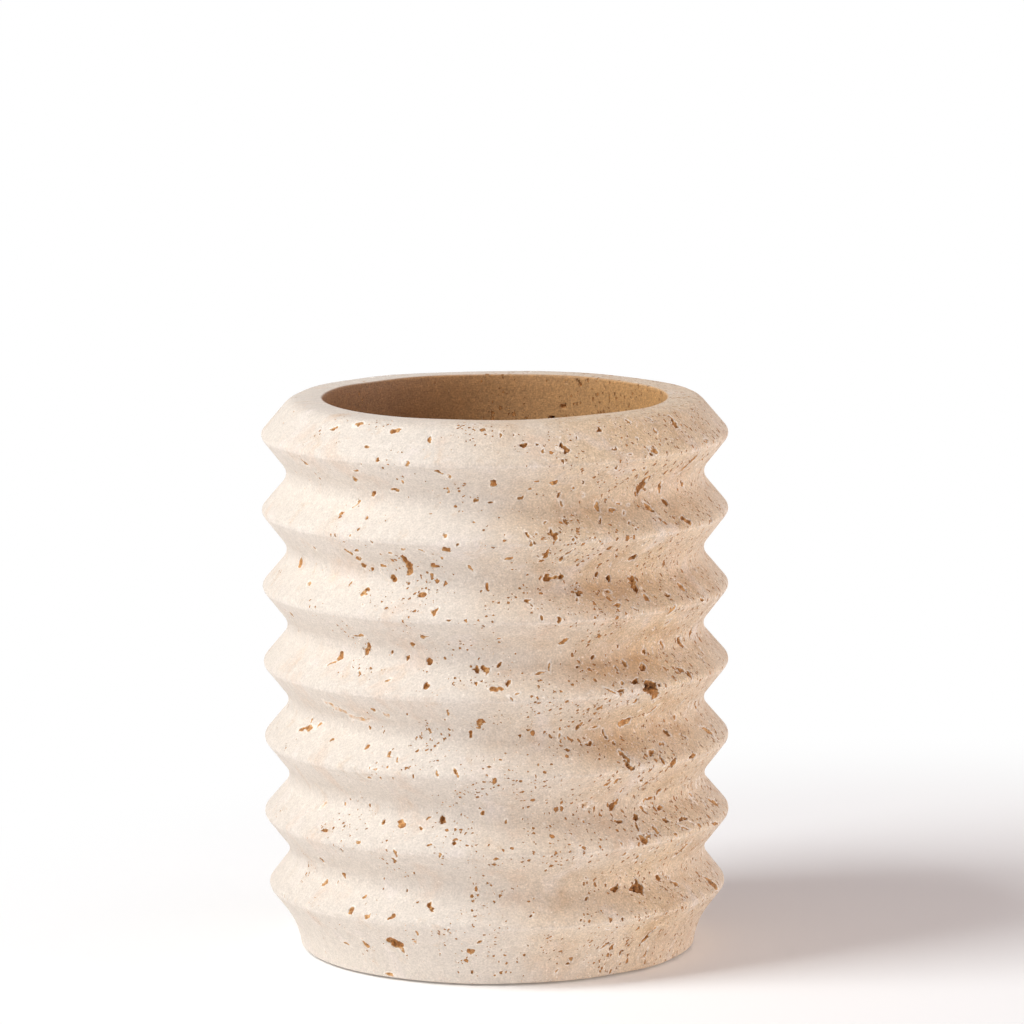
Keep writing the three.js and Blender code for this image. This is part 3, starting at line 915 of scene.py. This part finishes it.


# %% The bored wall and its painted shade
def bored_wall_and_shade(tree, at, colour):
    """Painted shade: the wall is browner than the outside, darker to the left and ringed by the drill: rings
    = noise squeezed along Z + 0.012 * right. Bored is 1 inside the bore's radius and above the well's floor.
    Returns the colour and bored."""
    bored = {"Value": at["from_axis"], "From Min": bore_radius + 0.5, "From Max": bore_radius + 0.1}
    bored = add(tree, "MapRange", bored)
    high = add(tree, "Math", {0: at["height"], 1: well_floor - 1}, operation="GREATER_THAN")
    bored = add(tree, "Math", {0: bored, 1: high}, operation="MULTIPLY")
    ringed = add(tree, "Mapping", {"Vector": at["in_mm"], "Scale": (0.15, 0.15, 2)})
    rings = add(tree, "TexNoise", {"Vector": ringed, "Detail": 4, "Roughness": 0.6})
    rings = add(tree, "Math", {0: at["right"], 1: 0.012, 2: rings}, operation="MULTIPLY_ADD")
    # painted shade: the wall's dark brown, darker to the left
    wall = add(tree, "Mix", {0: rings, 6: linear("#7C4D1C"), 7: linear("#CC9A5E")}, **mixes_colours)
    share = add(tree, "Math", {0: bored, 1: 0.95}, operation="MULTIPLY")
    return add(tree, "Mix", {0: share, 6: colour, 7: wall}, **mixes_colours), bored


# %% [markdown]
# ### Crystals and stain
#
# The crystals of the stone are too fine for the picture one by one, so the grain is drawn a third of a
# millimetre wide, as fine as it shows. What the eye gets is a mottle with that grain in it, and streaks where
# the beds run out. The same noises later make the relief, so that light and colour agree.

# %% The shade of streaks, mottle and grain
mottle_width = 1.5
grain_width = 0.35


def crystal_shade(tree, at, colour, browner, bored):
    """Colour times a shade about 1, which is the product of the mottle's, the grain's and the streaks' shade,
    and is stronger where the stone is browner and on the bored wall. Returns the colour, the mottle and
    the grain."""
    mottle = {"Vector": at["in_mm"], "Scale": 1 / mottle_width, "Detail": 5, "Roughness": 0.7}
    mottle = add(tree, "TexNoise", mottle)
    grain = add(tree, "TexNoise", {"Vector": at["in_mm"], "Scale": 1 / grain_width, "Detail": 2})
    squeezed = add(tree, "Mapping", {"Vector": at["in_mm"], "Scale": (0.35, 1.6, 0.3)})
    streaks = add(tree, "TexNoise", {"Vector": squeezed, "Detail": 4, "Roughness": 0.65})
    shade = 1.0
    for noise, darkest, lightest in ((mottle, 0.83, 1.12), (grain, 0.76, 1.22), (streaks, 0.86, 1.12)):
        part = {"Value": noise, "From Min": 0.3, "From Max": 0.7, "To Min": darkest, "To Max": lightest}
        part = add(tree, "MapRange", part)
        shade = add(tree, "Math", {0: shade, 1: part}, operation="MULTIPLY")
    stronger = add(tree, "MapRange", {"Value": browner, "To Min": 0.5, "To Max": 1.0})
    stronger = add(tree, "Math", {0: stronger, 1: bored}, operation="MAXIMUM")
    shaded = add(tree, "Mix", {0: stronger, 6: colour, 7: shade}, blend_type="MULTIPLY", **mixes_colours)
    return shaded, mottle, grain


# %% The stain and painted shade in the pits
crystal_width = 0.5
# Deeper in a pit the brown darkens: partly iron stain, partly painted shade.
deeper_stain_and_shade = [(0.1, 0.4, "#AE753A"), (0.5, 1.3, "#7B5128")]  # mm deep where it starts and is full, colour


def pit_stain_and_shade(tree, at, colour, hollow):
    """Tan to rust to dark brown by the pit's depth in mm, partly stain and partly painted shade, times a
    patchy shade of crystals. Returns the colour, how far a point is in a pit, and the crystals."""
    crystals = {"Vector": at["in_mm"], "Scale": 1 / crystal_width, "Detail": 3, "Roughness": 0.6}
    crystals = add(tree, "TexNoise", crystals)
    stain = linear("#D09E63")
    for start, full, tint in deeper_stain_and_shade:
        share = add(tree, "MapRange", {"Value": hollow, "From Min": start, "From Max": full}, **smooth)
        stain = add(tree, "Mix", {0: share, 6: stain, 7: linear(tint)}, **mixes_colours)
    patchy = {"Value": crystals, "From Min": 0.35, "From Max": 0.65, "To Min": 0.6, "To Max": 1.25}
    patchy = add(tree, "MapRange", patchy)
    stain = add(tree, "Mix", {0: 1.0, 6: stain, 7: patchy}, blend_type="MULTIPLY", **mixes_colours)
    in_pit = add(tree, "MapRange", {"Value": hollow, "From Min": 0.02, "From Max": 0.16}, **smooth)
    return add(tree, "Mix", {0: in_pit, 6: colour, 7: stain}, **mixes_colours), in_pit, crystals


# %% Honed travertine
def fine_relief(tree, mottle, grain, rough, small):
    """Height in mm = 0.08 * mottle + 0.05 * grain + 0.3 * the crystals in the pits - 0.6 * the small pits."""
    relief = add(tree, "Math", {0: mottle, 1: 0.08}, operation="MULTIPLY")
    dent = add(tree, "Math", {0: small, 1: 0}, operation="MAXIMUM")
    for height, share in ((grain, 0.05), (rough, 0.3), (dent, -0.6)):
        relief = add(tree, "Math", {0: height, 1: share, 2: relief}, operation="MULTIPLY_ADD")
    return relief


def honed_travertine():
    """The steps above in turn. Hollow is the deeper of the mesh's pits and the small pits, in mm."""
    material, tree = empty_material("honed_travertine")
    at = places_on_stone(tree)
    colour, browner = brown_side_shade_and_clouds(tree, at)
    small = small_pit_depth(tree, at)
    large = add(tree, "Attribute", out="Fac", attribute_name="hollow")
    hollow = add(tree, "Math", {0: large, 1: small}, operation="MAXIMUM")
    colour = flank_tint_shade_and_highlights(tree, at, colour, browner, hollow)
    colour, bored = bored_wall_and_shade(tree, at, colour)
    colour, mottle, grain = crystal_shade(tree, at, colour, browner, bored)
    colour, in_pit, crystals = pit_stain_and_shade(tree, at, colour, hollow)
    rough = add(tree, "Math", {0: in_pit, 1: crystals}, operation="MULTIPLY")
    relief = fine_relief(tree, mottle, grain, rough, small)
    bump = add(tree, "Bump", {"Height": relief, "Distance": MM})
    surface = {"Base Color": colour, "Roughness": 0.65, "IOR": 1.56, "Normal": bump}
    surface = add(tree, "BsdfPrincipled", surface)
    add(tree, "OutputMaterial", {"Surface": surface})
    return material


stone.data.materials.append(honed_travertine())
print("materials:", [m.name for m in stone.data.materials])

# %% [markdown]
# ### Rubber pads
#
# Four discs punched from black rubber sheet stand in the recess under the base, and their edges are softened
# where the punch drew them down. Each is one small profile carried round its own axis. The sheet has a fine
# matt grain with the odd pale crumb in it, and rubber's index of refraction is about 1.52.

# %% A pad's mesh
pad_columns = 96
pad_edge_rounding = 0.3
pad_edge_steps = 6


def pad_disc(name, low, high):
    """A disc between two corners in metres: (x, y) = centre + r * (cos a, sin a), with r and z from a profile
    that runs along the bottom, round the edge, up the side and back over the top."""
    centre = (np.array(low) + np.array(high)) / 2
    radius = (high[0] - low[0]) / 2
    rounding = pad_edge_rounding * MM
    turn = np.linspace(-np.pi / 2, 0, pad_edge_steps + 1)
    edge_r = radius - rounding + rounding * np.cos(turn)
    edge = np.stack([edge_r, low[2] + rounding + rounding * np.sin(turn)], axis=1)
    inner = [(0.0, low[2])] + [(radius * share, low[2]) for share in (0.3, 0.6, 0.85)]
    outer = [(radius * share, high[2]) for share in (1.0, 0.6)] + [(0.0, high[2])]
    profile = np.concatenate([inner, edge, outer])
    angle = np.arange(pad_columns) / pad_columns * 2 * np.pi
    points = np.stack(
        [
            centre[0] + profile[1:-1, :1] * np.cos(angle),
            centre[1] + profile[1:-1, :1] * np.sin(angle),
            profile[1:-1, 1:] + 0 * angle,
        ],
        axis=-1,
    )
    count = points.shape[0]
    points = np.concatenate([points.reshape(-1, 3), [(*centre[:2], low[2]), (*centre[:2], high[2])]])
    here = np.arange(pad_columns)
    beside = (here + 1) % pad_columns
    rings = np.arange(count - 1)[:, None] * pad_columns
    above = rings + pad_columns
    sides = np.stack([rings + here, rings + beside, above + beside, above + here], axis=-1)
    bottom = np.stack([beside, here, np.full(pad_columns, len(points) - 2)], axis=1)
    top_ring = (count - 1) * pad_columns
    top = np.stack([top_ring + here, top_ring + beside, np.full(pad_columns, len(points) - 1)], axis=1)
    mesh = bpy.data.meshes.new(name)
    mesh.from_pydata(points.tolist(), [], sides.reshape(-1, 4).tolist() + bottom.tolist() + top.tolist())
    mesh.shade_smooth()
    mesh.set_sharp_from_angle(angle=math.radians(40))
    return mesh


# %% Punched rubber
rubber_grain = 0.3
crumb_spacing = 1.6
crumb_reach = 0.09  # in spacings


def punched_rubber():
    """Near black, a little lighter where the grain stands up, with a pale crumb here and there."""
    material, tree = empty_material("punched_rubber")
    place = add(tree, "TexCoord", out="Object")
    in_mm = add(tree, "Mapping", {"Vector": place, "Scale": (1000, 1000, 1000)})
    grain = add(tree, "TexNoise", {"Vector": in_mm, "Scale": 1 / rubber_grain, "Detail": 4})
    colour = add(tree, "Mix", {0: grain, 6: linear("#1E1C1B"), 7: linear("#3A3633")}, **mixes_colours)
    crumb = add(tree, "TexVoronoi", {"Vector": in_mm, "Scale": 1 / crumb_spacing}, out="Distance")
    crumb = add(tree, "Math", {0: crumb, 1: crumb_reach}, operation="LESS_THAN")
    colour = add(tree, "Mix", {0: crumb, 6: colour, 7: linear("#57504A")}, **mixes_colours)
    bump = add(tree, "Bump", {"Height": grain, "Strength": 0.4, "Distance": 0.06 * MM})
    surface = {"Base Color": colour, "Roughness": 0.8, "IOR": 1.52, "Normal": bump}
    surface = add(tree, "BsdfPrincipled", surface)
    add(tree, "OutputMaterial", {"Surface": surface})
    return material


# %% Make the four pads
rubber = punched_rubber()
for node in sorted(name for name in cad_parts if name.startswith("foot_pad")):
    name = node.replace("foot_pad", "rubber_pad")
    pad = in_scene(name, pad_disc(name, *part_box(node)))
    pad.data.materials.append(rubber)
    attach(pad, "root")
    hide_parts(node)
    print(name, len(pad.data.polygons), "faces")

# %% [markdown]
# ## Floor, lamps and camera
#
# The cup stands on a sweep of white paper. Near the cup the paper is diffuse paper that keeps the shadow, and
# it glows a little of its own, far more towards the cup than towards the camera, so that it sends light up
# under the ridges. Further off it fades into a white that only the camera sees, so that the ground has no
# edge and no lamp has to be turned up for it.


# %% The floor and the white room
# The paper's own glow lights the cup like a low lamp: bounce_glow for other rays, seen_glow for the camera.
seen_glow = 0.022
bounce_glow = 0.18
shadow_middle = (0.09, -0.02, 0)
fade_start = 0.11
fade_end = 0.235


def white_paper():
    """Near the cup: diffuse paper with a faint glow of its own, less of it for the camera. Further off:
    white."""
    material, tree = empty_material("white_paper")
    place = add(tree, "TexCoord", out="Object")
    distance = add(tree, "VectorMath", {0: place, 1: shadow_middle}, out="Value", operation="DISTANCE")
    far = add(tree, "MapRange", {"Value": distance, "From Min": fade_start, "From Max": fade_end}, **smooth)
    seen = add(tree, "LightPath", out="Is Camera Ray")
    cover = add(tree, "Math", {0: seen, 1: far}, operation="MULTIPLY")
    less = {0: seen, 1: seen_glow - bounce_glow, 2: bounce_glow}
    glow = add(tree, "Math", less, operation="MULTIPLY_ADD")
    paper = add(tree, "BsdfDiffuse", {"Color": linear("#F8F8F8")})
    lift = add(tree, "Emission", {"Strength": glow})
    near = add(tree, "AddShader", {0: paper, 1: lift})
    white = add(tree, "Emission", {"Strength": 1.0})
    both = add(tree, "MixShader", {0: cover, 1: near, 2: white})
    add(tree, "OutputMaterial", {"Surface": both})
    return material


floor_reach = 8.0
floor_mesh = bpy.data.meshes.new("floor")
corners = [(x * floor_reach, y * floor_reach, 0) for x, y in ((-1, -1), (1, -1), (1, 1), (-1, 1))]
floor_mesh.from_pydata(corners, [], [(0, 1, 2, 3)])
floor = in_scene("floor", floor_mesh)
floor_mesh.materials.append(white_paper())

room_light = 0.38
world = bpy.data.worlds.new("white_room")
bpy.context.scene.world = world
world.use_nodes = True
room = world.node_tree
room.nodes.clear()
camera_ray = add(room, "LightPath", out="Is Camera Ray")
glossy_ray = camera_ray.node.outputs["Is Glossy Ray"]
sight = add(room, "Math", {0: camera_ray, 1: glossy_ray}, operation="MAXIMUM")
lit = add(room, "Background", {"Color": linear("#FFF0EF"), "Strength": room_light})
white = add(room, "Background", {"Color": (1, 1, 1, 1), "Strength": 1.0})
both = add(room, "MixShader", {0: sight, 1: lit, 2: white})
add(room, "OutputWorld", {"Surface": both})


# %% The lamps
def lamp(name, azimuth, elevation, distance, width, height, strength, colour="#FFFFFF"):
    """A flat lamp that faces the cup. Azimuth 0 is the front and grows to the right, in degrees. A strength
    of 1 gives the cup as much light as shows a colour as it is written: power =
    strength * (pi * distance)^2."""
    light = bpy.data.lights.new(name, "AREA")
    light.shape = "RECTANGLE"
    light.size = width
    light.size_y = height
    light.energy = strength * (math.pi * distance) ** 2
    light.color = linear(colour)[:3]
    a, e = math.radians(azimuth), math.radians(elevation)
    away = np.array([math.sin(a) * math.cos(e), -math.cos(a) * math.cos(e), math.sin(e)])
    middle = np.array([0, 0, rim_height * MM / 2])
    faced = Matrix.Rotation(a, 4, "Z") @ Matrix.Rotation(math.pi / 2 - e, 4, "X")
    in_scene(name, light).matrix_world = Matrix.Translation(middle + away * distance) @ faced


lamp("tall_softbox", -67.5, 45, distance=1.1, width=0.48, height=0.62, strength=0.92, colour="#F6FBFC")
lamp("side_fill", 83, 6, distance=1.1, width=0.8, height=0.5, strength=0.62, colour="#FFF8F8")
lamp("front_fill", -25, 6, distance=1.1, width=0.8, height=0.5, strength=0.16)

# %% The camera
image_width = 1024
focal_pixels = 6056.5
axis_column = 495.1
camera_distance = 1.1565
camera_height = 0.2619
camera_roll = math.radians(-0.28)

camera_data = bpy.data.cameras.new("camera")
camera_data.sensor_width = 36
camera_data.lens = focal_pixels / image_width * camera_data.sensor_width
camera = in_scene("camera", camera_data)
camera_yaw = -math.atan((image_width / 2 - axis_column) / focal_pixels)
camera.matrix_world = (
    Matrix.Translation((0, -camera_distance, camera_height))
    @ Matrix.Rotation(camera_yaw, 4, "Z")
    @ Matrix.Rotation(math.pi / 2 - camera_pitch, 4, "X")
    @ Matrix.Rotation(camera_roll, 4, "Z")
)
bpy.context.scene.camera = camera
bpy.context.scene.view_settings.view_transform = "Standard"
print(f"lens {camera_data.lens:.1f} mm")
